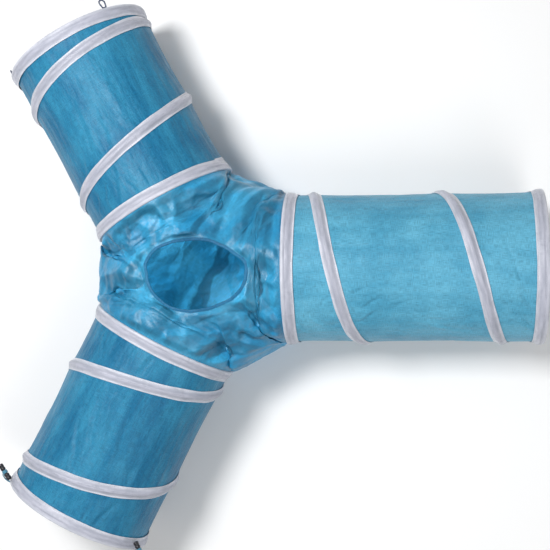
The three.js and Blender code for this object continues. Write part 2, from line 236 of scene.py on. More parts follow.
# ---- Materials ----
class Nodes:
    """A material's node tree with one Principled shader, and short ways to add to it."""

    def __init__(self, name):
        self.material = bpy.data.materials.new(name)
        self.material.use_nodes = True
        self.tree = self.material.node_tree
        self.shader = next(n for n in self.tree.nodes if n.type == "BSDF_PRINCIPLED")
        self.bump_out = None

    def node(self, kind, values=None, **settings):
        made = self.tree.nodes.new(kind)
        for key, value in settings.items():
            setattr(made, key, value)
        for key, value in (values or {}).items():
            if isinstance(value, bpy.types.NodeSocket):
                self.tree.links.new(value, made.inputs[key])
            else:
                made.inputs[key].default_value = value
        return made

    def set(self, **values):
        for key, value in values.items():
            self.shader.inputs[key.replace("_", " ")].default_value = value

    def link(self, socket, name):
        self.tree.links.new(socket, self.shader.inputs[name])

    def coords(self, attribute=None):
        if attribute:
            return self.node("ShaderNodeAttribute", attribute_name=attribute).outputs["Vector"]
        return self.node("ShaderNodeTexCoord").outputs["Object"]

    def scaled(self, vector, x, y, z):
        return self.node(
            "ShaderNodeVectorMath", {0: vector, 1: (x, y, z)}, operation="MULTIPLY"
        ).outputs["Vector"]

    def noise(self, vector, scale, detail=3.0, roughness=0.55, distortion=0.0):
        look = {"Scale": scale, "Detail": detail, "Roughness": roughness, "Distortion": distortion}
        return self.node("ShaderNodeTexNoise", {"Vector": vector, **look}).outputs["Fac"]

    def ramp(self, fac, *stops):
        made = self.node("ShaderNodeValToRGB", {"Fac": fac})
        ramp = made.color_ramp
        while len(ramp.elements) < len(stops):
            ramp.elements.new(0.5)
        for element, (at, colour) in zip(ramp.elements, stops):
            element.position = at
            if not hasattr(colour, "__len__"):
                colour = (colour,) * 3
            element.color = (*colour, 1.0)
        return made.outputs["Color"]

    def math(self, operation, a, b=0.0):
        return self.node("ShaderNodeMath", {0: a, 1: b}, operation=operation).outputs["Value"]

    def times(self, a, b):
        return self.math("MULTIPLY", a, b)

    def tinted(self, a, b):
        """One colour multiplied by another."""
        made = self.node("ShaderNodeMix", data_type="RGBA", blend_type="MULTIPLY")
        sockets = {s.identifier: s for s in made.inputs}
        sockets["Factor_Float"].default_value = 1.0
        self.tree.links.new(a, sockets["A_Color"])
        self.tree.links.new(b, sockets["B_Color"])
        return next(s for s in made.outputs if s.identifier == "Result_Color")

    def part(self, vector, axis):
        return self.node("ShaderNodeSeparateXYZ", {"Vector": vector}).outputs[axis]

    def bump(self, height, distance, strength=1.0):
        values = {"Height": height, "Distance": distance, "Strength": strength}
        if self.bump_out:
            values["Normal"] = self.bump_out
        self.bump_out = self.node("ShaderNodeBump", values).outputs["Normal"]
        self.tree.links.new(self.bump_out, self.shader.inputs["Normal"])


# The way across the painted shadow band along a fold in the hub floor's painted glow.
PAINTED_SHADOW_TURN = math.radians(-25)


def taffeta(name, dark, light, crumple, streak, gloss, shine=0.25, through=0.0, folded=None):
    """Thin coated taffeta: a fine weave with slubs, soft crinkles, and folds that catch the light, by bump
    and by painted light and shade in the colour.

    Crumple and streak say how much of each it has, gloss is its least roughness, shine its
    specular level, through the strength of a painted glow that stands in for daylight let through,
    and folded the attribute that holds the painted fold shading: how far each fold faces a fixed light.
    """
    m = Nodes(name)
    flat = m.coords("cloth")
    solid = m.coords()
    # Threads, a little uneven, along and across the cloth.
    warp = m.noise(m.scaled(flat, 1800, 90, 1), 1.0, 2.0)
    weft = m.noise(m.scaled(flat, 90, 1800, 1), 1.0, 2.0)
    weave = m.math("ADD", warp, weft)
    # Broad changes of tone, drawn out along the cloth.
    streaks = m.noise(m.scaled(flat, 46, 7, 1), 1.0, 3.0, 0.6)
    clouds = m.noise(solid, 9.0, 3.0, 0.6)
    tone = m.math("ADD", m.times(streaks, streak), m.times(clouds, 1 - streak))
    base = m.ramp(tone, (0.41, dark), (0.60, light))
    slub = m.ramp(weave, (0.80, 0.78), (1.0, 1.0), (1.25, 1.20))
    colour = m.tinted(base, slub)
    if folded:
        # Painted shade and highlight: the colour is darkened where a fold faces away from a fixed light
        # direction and lightened where it faces it.
        painted_fold_shade = m.part(m.coords(folded), "X")
        shade = m.ramp(painted_fold_shade, (0.1, 0.60), (0.5, 0.96), (0.9, 1.45))
        colour = m.tinted(colour, shade)
    m.link(colour, "Base Color")
    if through:
        # Painted glow: emission stands in for daylight through the thin cloth near the floor, with a
        # painted shadow band along a fold under the peephole.
        normal = (math.cos(PAINTED_SHADOW_TURN), math.sin(PAINTED_SHADOW_TURN), 0)
        middle = PEEPHOLE["x"] * normal[0] + PEEPHOLE["y"] * normal[1]
        across = m.node("ShaderNodeVectorMath", {0: solid, 1: normal}, operation="DOT_PRODUCT")
        across = across.outputs["Value"]
        wander = m.times(m.noise(solid, 16.0, 2.0), 0.05)
        off = m.math("ABSOLUTE", m.math("ADD", m.math("SUBTRACT", across, middle + 0.009), wander))
        painted_shadow_band = m.ramp(m.times(off, 20.0), (0.19, 0.42), (0.26, 1.0))
        low = m.ramp(m.times(m.part(solid, "Z"), 10.0), (0.15, 1.0), (0.6, 0.08))
        m.link(m.tinted(m.tinted(colour, painted_shadow_band), low), "Emission Color")
        m.set(Emission_Strength=through)
    rough = m.ramp(m.noise(solid, 34.0, 4.0), (0.3, gloss), (0.7, gloss + 0.12))
    m.link(rough, "Roughness")
    m.set(Sheen_Weight=0.02, Sheen_Roughness=0.3, IOR=1.4, Specular_IOR_Level=shine)
    m.shader.inputs["Sheen Tint"].default_value = (0.75, 0.9, 1.0, 1.0)
    # Crumples: sharp creases that wander, at two sizes, in patches.
    patch = m.ramp(m.noise(solid, 11.0, 2.0), (0.38, 0.3), (0.62, 1.0))
    for scale, deep in ((20.0, 0.010), (52.0, 0.0018)):
        wander = m.noise(solid, scale, 2.0, 0.5, 0.4)
        crease = m.math("ABSOLUTE", m.math("SUBTRACT", wander, 0.5))
        m.bump(m.times(crease, patch), deep * crumple)
    m.bump(m.noise(m.scaled(flat, 70, 16, 1), 1.0, 4.0, 0.6), 0.0022 * streak * 2)
    m.bump(m.noise(solid, 160.0, 4.0, 0.6), 0.0006)
    m.bump(weave, 0.00018)
    return m.material


def satin(name):
    """White satin tape: fine ribs across it, a sheen along it, and painted shade in the middle with
    painted highlight at the edges.
    """
    m = Nodes(name)
    flat = m.coords("tape")
    solid = m.coords()
    tone = m.noise(m.scaled(flat, 160, 26, 1), 1.0, 4.0, 0.6)
    base = m.ramp(tone, (0.3, (0.38, 0.40, 0.46)), (0.7, (0.58, 0.59, 0.66)))
    # Painted shade and highlight: greyer across the middle, lighter towards the stitched edges.
    middle = m.ramp(
        m.math("ABSOLUTE", m.part(flat, "X")),
        (0.0, (0.86, 0.86, 0.90)), (0.0046, (0.78, 0.78, 0.82)), (0.0062, (0.70, 0.70, 0.75)),
        (0.0075, (1.1, 1.1, 1.1)), (0.0098, (1.25, 1.25, 1.22)),
    )
    m.link(m.tinted(base, middle), "Base Color")
    m.link(m.ramp(m.noise(solid, 60.0, 3.0), (0.3, 0.34), (0.7, 0.5)), "Roughness")
    m.set(Sheen_Weight=0.3, Sheen_Roughness=0.3, Anisotropic=0.3)
    ribs = m.noise(m.scaled(flat, 40, 1500, 1), 1.0, 1.0)
    m.bump(ribs, 0.00025)
    m.bump(m.noise(m.scaled(flat, 60, 150, 1), 1.0, 3.0), 0.0010)
    return m.material


def metal(name, colour, rough, fine):
    m = Nodes(name)
    solid = m.coords()
    grain = m.noise(m.scaled(solid, 300, 300, 2200), 1.0, 3.0)
    m.link(m.ramp(grain, (0.3, [c * 0.85 for c in colour]), (0.7, colour)), "Base Color")
    m.link(m.ramp(m.noise(solid, 400.0, 3.0), (0.3, rough), (0.7, rough + 0.15)), "Roughness")
    m.set(Metallic=1.0)
    m.bump(grain, fine)
    return m.material


def moulded(name):
    m = Nodes(name)
    solid = m.coords()
    worn = m.noise(solid, 260.0, 4.0)
    m.link(m.ramp(worn, (0.3, (0.010, 0.010, 0.013)), (0.75, (0.022, 0.022, 0.028))), "Base Color")
    m.link(m.ramp(worn, (0.3, 0.22), (0.7, 0.42)), "Roughness")
    m.bump(m.noise(solid, 900.0, 2.0), 0.00006)
    return m.material


def webbing(name, dark, light):
    m = Nodes(name)
    solid = m.coords()
    threads = m.noise(m.scaled(solid, 1500, 1500, 1500), 1.0, 2.0)
    m.link(m.ramp(threads, (0.3, dark), (0.7, light)), "Base Color")
    m.link(m.ramp(threads, (0.3, 0.55), (0.7, 0.8)), "Roughness")
    m.set(Sheen_Weight=0.35)
    m.bump(threads, 0.0003)
    return m.material


# One taffeta in two copies: the right arm's lighter colour and the left arms' darker colour are painted
# light and shade for how each arm lies to the light.
RIGHT_ARM_PAINTED_LIGHTER = taffeta("right_taffeta", (0.060, 0.270, 0.410), (0.110, 0.370, 0.520), 0.35, 0.35, 0.36)
LEFT_ARMS_PAINTED_DARKER = taffeta("left_taffeta", (0.010, 0.125, 0.245), (0.028, 0.205, 0.345), 0.3, 0.5, 0.34)
# The hub's materials multiply painted fold shading from the fold attribute into their colour.
HUB_BLUE = taffeta(
    "hub_taffeta", (0.012, 0.165, 0.315), (0.034, 0.255, 0.430), 0.15, 0.1, 0.27, shine=0.6, folded="fold"
)
# The floor's cloth also has a painted glow: emission that stands in for daylight let through it.
HUB_FLOOR_BLUE = taffeta(
    "hub_floor_taffeta", (0.012, 0.170, 0.340), (0.030, 0.245, 0.430), 0.2, 0.1, 0.3,
    shine=0.3, through=0.8, folded="fold",
)
HEM_BLUE = taffeta("peephole_binding_tape", (0.010, 0.095, 0.200), (0.022, 0.150, 0.285), 0.1, 0.1, 0.4)
SATIN = satin("satin_tape")
STEEL = metal("spring_steel_wire", (0.42, 0.43, 0.45), 0.25, 0.00003)
ALUMINIUM = metal("ferrule_aluminium", (0.62, 0.62, 0.63), 0.35, 0.00005)
PLASTIC = moulded("toggle_plastic")
TAB_BLUE = webbing("tab_webbing", (0.035, 0.150, 0.240), (0.070, 0.240, 0.340))
NAVY = webbing("navy_cord", (0.008, 0.022, 0.070), (0.022, 0.050, 0.130))


# ---- Tubes ----
AROUND = 240
ALONG_STEP = 0.0026

# Creases that the cloth holds: arm, place along it (share of the length) and round it (degrees),
# direction from the arm's axis (degrees), length, width and depth in millimetres.
CREASES = {
    "right_arm": [
        (0.90, 100, 62, 46, 5, 1.5), (0.92, 116, 58, 60, 6, 1.7), (0.88, 128, 55, 58, 5, 1.5),
        (0.93, 138, 50, 50, 6, 1.6), (0.86, 80, 66, 40, 5, 0.9), (0.52, 128, 30, 80, 7, 1.0),
        (0.60, 140, 24, 90, 7, 1.2), (0.45, 120, 160, 60, 6, 0.9), (0.34, 118, 150, 36, 5, 1.4),
        (0.30, 108, 162, 34, 4, 1.2), (0.33, 130, 140, 40, 5, 1.4), (0.10, 122, 60, 40, 5, 1.4),
        (0.13, 134, 48, 44, 5, 1.6), (0.08, 110, 100, 34, 4, 1.2), (0.15, 118, 130, 30, 4, 1.2),
        (0.06, 140, 70, 36, 4, 1.4), (0.50, 95, 12, 90, 8, 0.8), (0.72, 112, 20, 80, 7, 0.8),
    ],
    "upper_left_arm": [
        (0.12, 70, 20, 50, 4, 1.2), (0.10, 82, -12, 46, 4, 1.2), (0.14, 58, 30, 50, 4, 1.1),
        (0.08, 96, 8, 44, 4, 1.1), (0.13, 46, 38, 46, 4, 1.0), (0.22, 76, 4, 60, 5, 0.9),
        (0.30, 64, 14, 70, 5, 0.9), (0.42, 84, 3, 110, 8, 0.9), (0.50, 98, -2, 120, 9, 0.8),
        (0.46, 70, 6, 100, 7, 0.8), (0.30, 50, 28, 60, 5, 0.8), (0.86, 88, 24, 40, 5, 0.8),
    ],
    "lower_left_arm": [
        (0.10, 84, 22, 60, 5, 1.4), (0.12, 98, 12, 60, 5, 1.4), (0.10, 112, 26, 50, 5, 1.3),
        (0.14, 124, -18, 50, 5, 1.2), (0.08, 132, 14, 40, 4, 1.1), (0.50, 76, -8, 120, 6, 1.2),
        (0.46, 88, -14, 130, 7, 1.3), (0.54, 98, -16, 120, 8, 1.2), (0.60, 108, -20, 100, 7, 1.1),
        (0.42, 112, 30, 50, 5, 0.9), (0.88, 62, 26, 60, 6, 1.2), (0.90, 74, 10, 50, 6, 0.9),
    ],
}


def wire_gaps(arm, s, theta):
    """The wires on each side of points on a tube: the spiral's turns and the two hoops."""
    low = np.zeros_like(s)
    high = np.full_like(s, arm.length)
    for turn in range(-2, 5):
        turned = theta - arm.start + turn * TURN
        at = arm.along(turned)
        real = (turned >= 0) & (turned <= SPIRAL_TURN)
        low = np.where(real & (at <= s) & (at > low), at, low)
        high = np.where(real & (at > s) & (at < high), at, high)
    return low, high


def tube_radius(arm, s, theta, seed):
    low, high = wire_gaps(arm, s, theta)
    gap = np.maximum(high - low, 1e-4)
    u = np.clip((s - low) / gap, 0, 1)
    slack = 4 * u * (1 - u)
    radius = TUBE_RADIUS - 0.0012 * np.minimum(gap / 0.1, 1.3) ** 1.4 * slack
    # No fold reaches under a tape.
    clear = smooth_step(0.008, 0.020, np.minimum(s - low, high - s))
    turns = theta / TURN
    busy = 0.5 + 0.5 * lattice(turns * 7, s / 0.09, seed, 7)
    drift = 0.6 * lattice(turns * 9, s / 0.05, seed + 1, 9)
    folds = ridged(lattice(turns * 36, s / 0.16 + drift, seed + 2, 36), 2.5)
    fine = lattice(turns * 90, s / 0.030, seed + 3, 90)
    radius = radius - clear * (0.0019 * busy * folds + 0.0005 * busy * fine)
    for share, degrees, slant, length, width, depth in CREASES[arm.name]:
        ds = s - share * arm.length
        dt = (np.mod(theta - math.radians(degrees) + math.pi, TURN) - math.pi) * TUBE_RADIUS
        wobble = 0.004 * lattice(ds / 0.02, dt / 0.02, seed + 7)
        a = math.radians(slant)
        lengthwise = ds * math.cos(a) + dt * math.sin(a)
        sideways = dt * math.cos(a) - ds * math.sin(a) + wobble
        body = np.exp(-((lengthwise / (length * 0.00045)) ** 2))
        valley = np.exp(-np.abs(sideways) / (width * 0.00045))
        shoulder = np.exp(-(((sideways - width * 0.001) / (width * 0.0007)) ** 2))
        radius = radius + clear * body * depth * 0.0022 * (0.45 * shoulder - 0.9 * valley)
    return np.minimum(radius, TUBE_RADIUS + 0.0012)


def make_tube(arm, seed, material):
    start = -HOOP_TO_FOLD + 0.0014
    rows = int((arm.length - 2 * start) / ALONG_STEP)
    s = np.linspace(start, arm.length - start, rows)[:, None]
    theta = round_angles(AROUND)[None, :]
    s, theta = np.broadcast_arrays(s, theta)
    radius = tube_radius(arm, s, theta, seed)
    outer = arm.points(s, radius, theta)
    inner = arm.points(s, radius - CLOTH_THICKNESS, theta)[::-1]
    cloth = np.stack([theta * TUBE_RADIUS, s, np.zeros_like(s)], -1)
    made = piece(
        arm.name + "_tube_taffeta",
        np.concatenate([outer, inner]),
        [f[::-1] for f in grid_faces(2 * rows, AROUND, closed_rows=True)],
        material,
        {"cloth": np.concatenate([cloth, cloth[::-1]])},
    )
    return made


def flatten(made, arm):
    """The soft piece goes with the arm's base body and gets a mesh of its own."""
    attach(made, arm.name + "_base")
    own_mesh(made)


# ---- Tapes ----
# The hoop tape's section as (inward from the wire, radius), in millimetres: round the fold at
# the tube's end, out along the tube to a stitched edge, and back to the tucked inner leg.
HOOP_SECTION = [
    (15.9, 120.7), (16.0, 121.2), (15.2, 121.6), (14.2, 121.5), (13.5, 121.25), (12.8, 121.5),
    (11.5, 122.2), (9.5, 123.1), (7.5, 123.9), (5.5, 124.5), (3.8, 124.55), (3.0, 124.2), (2.2, 124.6),
    (1.0, 124.95), (-0.8, 125.0), (-2.4, 124.7), (-3.5, 123.9), (-4.0, 122.6), (-4.0, 121.2),
    (-3.6, 119.9), (-2.8, 119.0), (-1.4, 118.5), (1.0, 118.4), (4.0, 118.5), (7.0, 118.6),
    (9.8, 118.5), (10.0, 118.9), (9.8, 119.3), (7.0, 119.3), (3.0, 119.2), (-0.6, 119.3),
    (-2.2, 120.0), (-3.0, 121.4), (-3.0, 122.8), (-2.2, 123.8), (-0.6, 124.2), (1.6, 124.1),
    (4.2, 123.8), (7.5, 123.1), (10.5, 121.9), (13.0, 120.9), (14.6, 120.7),
]
# The spiral tape's outer face as (across, height over the tube), in millimetres.
SPIRAL_HALF = [
    (0.5, 4.45), (1.1, 4.6), (2.0, 4.3), (3.4, 3.6), (4.8, 2.7), (6.0, 1.9), (7.0, 1.1), (7.7, 0.75),
    (8.4, 1.0), (9.3, 1.0), (10.0, 0.75),
]
SPIRAL_OUTER = [(-across, height) for across, height in reversed(SPIRAL_HALF)] + [(0.0, 4.4)] + SPIRAL_HALF
HOOP_AROUND = 300


def make_hoop_tape(arm, end, seed):
    at, inward = (0.0, 1) if end == "hub" else (arm.length, -1)
    section = np.array(HOOP_SECTION) / 1000
    theta = round_angles(HOOP_AROUND)[:, None]
    turns = theta / TURN
    s, r = section[:, 0][None, :], section[:, 1][None, :]
    outside = smooth_step(0.1206, 0.1215, r)
    loose = smooth_step(0.004, 0.014, s)
    pucker = 0.00035 * lattice(turns * 110, s / 0.006, seed, 110) * outside * (0.3 + loose)
    wave = 0.0005 * lattice(turns * 24, np.zeros_like(turns), seed + 1, 24)
    r = np.minimum(r + pucker - np.maximum(wave, 0) * loose * outside, TAPE_RADIUS)
    s = s + wave * loose + np.zeros_like(theta)
    points = arm.points(at + inward * s, r, theta)
    faces = grid_faces(HOOP_AROUND, section.shape[0], closed_rows=True)
    if inward > 0:
        faces = [f[::-1] for f in faces]
    across = np.broadcast_to((section[:, 0] - 0.006)[None, :], s.shape)
    tape = np.stack([across, np.broadcast_to(theta * TAPE_RADIUS, s.shape), np.zeros(s.shape)], -1)
    parts = [(points, faces)]
    ring = np.linspace(0, TURN, 720)
    outward = arm.points(0.0, 1.0, ring) - arm.centre
    for row_s, row_r in ((0.0135, 0.12135), (0.0030, 0.1243)):
        path = arm.points(at + inward * row_s, row_r, ring)
        parts.append(stitches(path, np.broadcast_to(arm.out, path.shape), outward))
    return assemble_tape(f"{arm.name}_{end}_hoop_satin", parts, tape)


def assemble_tape(name, parts, tape):
    points, faces = join(parts)
    flat = np.zeros((len(points), 3))
    flat[: tape.size // 3] = tape.reshape(-1, 3)
    return piece(name, points, faces, SATIN, {"tape": flat})


def spiral_frame(arm, turned):
    """Where the spiral is, its angle, and the way across its tape: along the arm and round it."""
    along = arm.along(turned)
    pitch = np.gradient(along, turned)
    long_way = np.sqrt(pitch**2 + TUBE_RADIUS**2)
    return along, arm.start + turned, TUBE_RADIUS / long_way, -pitch / long_way


def make_spiral_tape(arm, seed):
    turned = np.linspace(0, SPIRAL_TURN, 1400)
    keep = (arm.along(turned) > 0.008) & (arm.along(turned) < arm.length - 0.008)
    turned = turned[keep]
    along, angle, side_s, side_t = spiral_frame(arm, turned)
    outer = np.array(SPIRAL_OUTER) / 1000
    inner = outer[::-1].copy()
    inner[:, 1] = np.maximum(inner[:, 1] - 0.0007, 0.0002)
    section = np.concatenate([outer, inner])
    w, h = section[:, 0][None, :], section[:, 1][None, :]
    far = turned * TUBE_RADIUS
    edge = smooth_step(0.006, 0.010, np.abs(w))
    w = w + 0.0006 * edge * lattice(far[:, None] / 0.03, np.sign(w) * 3 + 5, seed)
    h = h + 0.00028 * lattice(far[:, None] / 0.006, w / 0.004 + 9, seed + 1) * (h > 0.0006)

    def place(w, h):
        s = along[:, None] + w * side_s[:, None]
        theta = angle[:, None] + w * side_t[:, None] / TUBE_RADIUS
        # Near a hoop the tape runs under the hoop's own tape, where it lies flat.
        inward = np.minimum(s, arm.length - s)
        low = smooth_step(HOOP_TAPE_REACH - 0.0005, HOOP_TAPE_REACH + 0.007, inward)
        h = h * low + np.minimum(h, 0.0004) * (1 - low)
        s = np.clip(s, HOOP_TAPE_REACH - 0.003, arm.length - HOOP_TAPE_REACH + 0.003)
        return arm.points(s, TUBE_RADIUS + 0.0001 + h, theta), theta

    points, theta = place(w, h)
    tape = np.stack(np.broadcast_arrays(w, far[:, None], np.zeros(points.shape[:2])), -1)
    sections, faces = swept(points)
    parts = [(sections, faces)]
    for row_w, row_h in ((-0.0077, 0.0009), (0.0077, 0.0009), (-0.0005, 0.0046), (0.0005, 0.0046)):
        path, row_theta = place(np.full((len(turned), 1), row_w), np.full((len(turned), 1), row_h))
        outward = arm.points(0.0, 1.0, row_theta[:, 0]) - arm.centre
        path = path[:, 0]
        across = np.cross(np.gradient(path, axis=0), outward)
        across = unit(across)
        parts.append(stitches(path, across, outward))
    return assemble_tape(arm.name + "_spiral_satin", parts, tape)


def make_spiral_wire(arm):
    turned = np.linspace(0, SPIRAL_TURN, 600)
    along = arm.along(turned)
    ring = round_angles(10)[None, :]
    angle = (arm.start + turned)[:, None]
    points = arm.points(
        along[:, None] + WIRE_RADIUS * np.cos(ring), WIRE_CIRCLE + WIRE_RADIUS * np.sin(ring), angle
    )
    sections, faces = swept(points)
    return piece(arm.name + "_spiral_spring", sections, faces, STEEL)


for number, arm in enumerate(ARMS):
    material = RIGHT_ARM_PAINTED_LIGHTER if arm.name == "right_arm" else LEFT_ARMS_PAINTED_DARKER
    tube = make_tube(arm, 11 + 20 * number, material)
    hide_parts(arm.name + "_tube_fabric")
    flatten(tube, arm)
    spiral = make_spiral_tape(arm, 12 + 20 * number)
    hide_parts(arm.name + "_spiral_tape")
    flatten(spiral, arm)
    wire = make_spiral_wire(arm)
    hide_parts(arm.name + "_spiral_wire")
    flatten(wire, arm)
    for end, body in (("hub", "_base"), ("end", "_end")):
        tape = make_hoop_tape(arm, end, 14 + 20 * number)
        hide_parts(f"{arm.name}_{end}_hoop_tape")
        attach(tape, arm.name + body)
        for node, look in (("wire", STEEL), ("ferrule", ALUMINIUM)):
            for place in frame["nodes"][f"{arm.name}_{end}_hoop_{node}"].material_slots:
                place.material = look


# ---- Hub ----
RING_STEP = 0.0088
OUTER_COLUMNS = 144
COLUMNS_PER_ARM = 16
COLUMNS = 3 * COLUMNS_PER_ARM
HOOP_SHARE = 12
# How far the peephole's edge is from a plain oval, as shares of its radius, every 20 degrees.
PEEPHOLE_SHAPE = [
    0.98, 1.02, 0.95, 0.95, 0.99, 1.0, 1.04, 1.09, 1.08,
    1.0, 0.99, 1.0, 1.03, 1.0, 0.95, 0.92, 0.94, 0.96,
]


def peephole_edge(bearing, out):
    turns = np.mod(bearing / TURN, 1) * len(PEEPHOLE_SHAPE)
    i = np.floor(turns).astype(int)
    t = turns - i
    t = t * t * (3 - 2 * t)
    shape = np.array(PEEPHOLE_SHAPE)
    k = shape[i % len(shape)] * (1 - t) + shape[(i + 1) % len(shape)] * t
    return np.stack(
        [
            PEEPHOLE["x"] + (PEEPHOLE["half_x"] * k + out) * np.cos(bearing),
            PEEPHOLE["y"] + (PEEPHOLE["half_y"] * k + out) * np.sin(bearing),
            PEEPHOLE["z"] + 0.0025 * np.sin(3 * bearing + 1.0) - 0.002 * np.sin(5 * bearing),
        ],
        -1,
    )


def hub_edge(column, up):
    """The edge that a hub panel is sewn to, and the way the cloth leaves it. 16 columns an arm."""
    index = (np.floor(column / COLUMNS_PER_ARM).astype(int)) % 3
    local = np.mod(column, COLUMNS_PER_ARM)
    out = np.array([a.out for a in ARMS])
    left = np.array([a.left for a in ARMS])
    reach = np.array([a.reach for a in ARMS]) - HUB_EDGE

    def hoop(which, angle):
        side = (HUB_RADIUS * np.cos(angle))[:, None]
        point = reach[which][:, None] * out[which] + side * left[which]
        point[:, 2] = AXIS_HEIGHT + up * HUB_RADIUS * np.sin(angle)
        return point

    angle = math.pi - np.minimum(local, HOOP_SHARE) * math.pi / HOOP_SHARE
    point = hoop(index, angle)
    leave = -out[index] + (up * (1 - np.sin(angle)))[:, None] * UP
    ahead = hoop((index + 1) % 3, np.full(len(column), math.pi))
    share = np.clip((local - HOOP_SHARE) / (COLUMNS_PER_ARM - HOOP_SHARE), 0, 1)[:, None]
    on_wall = share > 0
    point = np.where(on_wall, point * (1 - share) + ahead * share, point)
    leave = np.where(on_wall, up * UP, leave)
    return point, unit(leave)


FIRST = hub_edge(np.array([0.0]), 1)[0][0]
FIRST_BEARING = math.atan2(FIRST[1], FIRST[0])


def panel_points(column, share, up):
    """Points of a hub panel, from its sewn edge at share 0 to its inner edge at share 1."""
    pull = 0.062
    edge, leave = hub_edge(column, up)
    bearing = FIRST_BEARING + column / COLUMNS * TURN
    outward = np.stack([np.cos(bearing), np.sin(bearing), np.zeros_like(bearing)], -1)
    if up > 0:
        inner = peephole_edge(bearing, 0.001)
    else:
        inner = outward * FLOOR_FLAT_RADIUS
        inner[:, 2] = CLOTH_REST
    t = share[:, None]
    return (
        (1 - t) ** 3 * edge
        + 3 * (1 - t) ** 2 * t * (edge + leave * pull)
        + 3 * (1 - t) * t**2 * (inner + outward * pull * 0.6)
        + t**3 * inner
    )


def panel_mesh(up):
    """Rings of evenly spaced points joined by triangles. Gives points, columns, shares and faces."""
    inner, outer = (0.069, 0.226) if up > 0 else (0.075, 0.226)
    rings = []
    count = int(round((outer - inner) / RING_STEP))
    for i in range(count + 1):
        share = i / count
        radius = outer + (inner - outer) * share
        number = OUTER_COLUMNS if i == 0 else int(round(TURN * radius / RING_STEP))
        phase = 0.0 if i == 0 else (i % 2) * 0.5
        columns = (np.arange(number) + phase) / number * COLUMNS
        rings.append((columns, panel_points(columns, np.full(number, share), up), radius))
    if up < 0:
        for i in range(1, 15):
            radius = FLOOR_FLAT_RADIUS * (1 - i / 15)
            number = max(int(round(TURN * radius / RING_STEP)), 6)
            columns = (np.arange(number) + (i % 2) * 0.5) / number * COLUMNS
            bearing = FIRST_BEARING + columns / COLUMNS * TURN
            height = np.full(number, CLOTH_REST)
            points = np.stack([radius * np.cos(bearing), radius * np.sin(bearing), height], -1)
            rings.append((columns, points, radius))
    faces, start = [], 0
    for (a, *_), (b, *_) in zip(rings, rings[1:]):
        na, nb, first, second = len(a), len(b), start, start + len(a)
        i = j = 0
        while i < na or j < nb:
            next_a = a[(i + 1) % na] + (COLUMNS if i + 1 >= na else 0)
            next_b = b[(j + 1) % nb] + (COLUMNS if j + 1 >= nb else 0)
            if j >= nb or (i < na and next_a <= next_b):
                faces.append((first + i % na, first + (i + 1) % na, second + j % nb))
                i += 1
            else:
                faces.append((first + i % na, second + (j + 1) % nb, second + j % nb))
                j += 1
        start += na
    if up < 0:
        last = len(rings[-1][0])
        middle = start + last
        faces.extend((start + k, start + (k + 1) % last, middle) for k in range(last))
        rings.append((np.zeros(1), np.array([[0.0, 0.0, CLOTH_REST]]), 0.0))
    points = np.concatenate([r[1] for r in rings])
    columns = np.concatenate([r[0] for r in rings])
    ring_of = np.concatenate([np.full(len(r[0]), i) for i, r in enumerate(rings)])
    flat_radius = np.concatenate([np.full(len(r[0]), r[2]) for r in rings])
    flat_angle = columns / COLUMNS * TURN
    flat = np.stack([flat_radius * np.cos(flat_angle), flat_radius * np.sin(flat_angle)], -1)
    if up < 0:
        faces = [f[::-1] for f in faces]
    return points, columns, ring_of, faces, count, flat


def build_hub():
    """The hub's two panels as one mesh, sewn along the short walls. Gives arrays."""
    top = panel_mesh(1)
    floor = panel_mesh(-1)
    offset = len(top[0])
    points = np.concatenate([top[0], floor[0]])
    columns = np.concatenate([top[1], floor[1]])
    is_top = np.arange(len(points)) < offset
    outer = np.concatenate([top[2] == 0, floor[2] == 0])
    hem = np.concatenate([top[2] == top[4], np.zeros(len(floor[0]), bool)])
    faces = np.array(top[3] + [tuple(k + offset for k in f) for f in floor[3]])
    # The floor's edge points on the walls, and at the hoops' sides, are the top's own.
    local = np.mod(columns, COLUMNS_PER_ARM)
    sewn = outer & ((local >= HOOP_SHARE - 1e-6) | (local < 1e-6))
    same = np.arange(len(points))
    floor_edge = np.nonzero(sewn & ~is_top)[0]
    same[floor_edge] = floor_edge - offset
    faces = same[faces]
    on_wall = sewn & (local > HOOP_SHARE + 1e-6)
    pinned = (outer & ~on_wall) | hem
    flat = np.concatenate([top[5], floor[5]])
    # How far a point is from a seam or the hem, in rings.
    free = np.concatenate([np.minimum(top[2], top[4] - top[2]), floor[2]]).astype(float)
    free[on_wall] = 2.0
    return points, columns, is_top, pinned, faces, flat, free


def mesh_normals(points, faces):
    a, b, c = (points[faces[:, k]] for k in range(3))
    each = np.cross(b - a, c - a)
    normals = np.zeros_like(points)
    for k in range(3):
        np.add.at(normals, faces[:, k], each)
    return normals / np.maximum(np.linalg.norm(normals, axis=1, keepdims=True), 1e-12)


# Light, limp taffeta, a little larger than the hoops leave room for.
CLOTH = {
    "quality": 6, "mass": 0.02, "tension_stiffness": 25, "compression_stiffness": 12,
    "shear_stiffness": 6, "bending_stiffness": 2.0, "tension_damping": 8, "compression_damping": 8,
    "shear_damping": 8, "bending_damping": 0.5, "air_damping": 3, "vertex_group_mass": "sewn",
    "pin_stiffness": 1, "shrink_min": -0.012, "shrink_max": -0.012,
}
CLOTH_COLLISION = {
    "use_collision": True, "distance_min": 0.0008, "use_self_collision": True,
    "self_distance_min": 0.0012, "collision_quality": 3,
}
CLOTH_FRAMES = 30


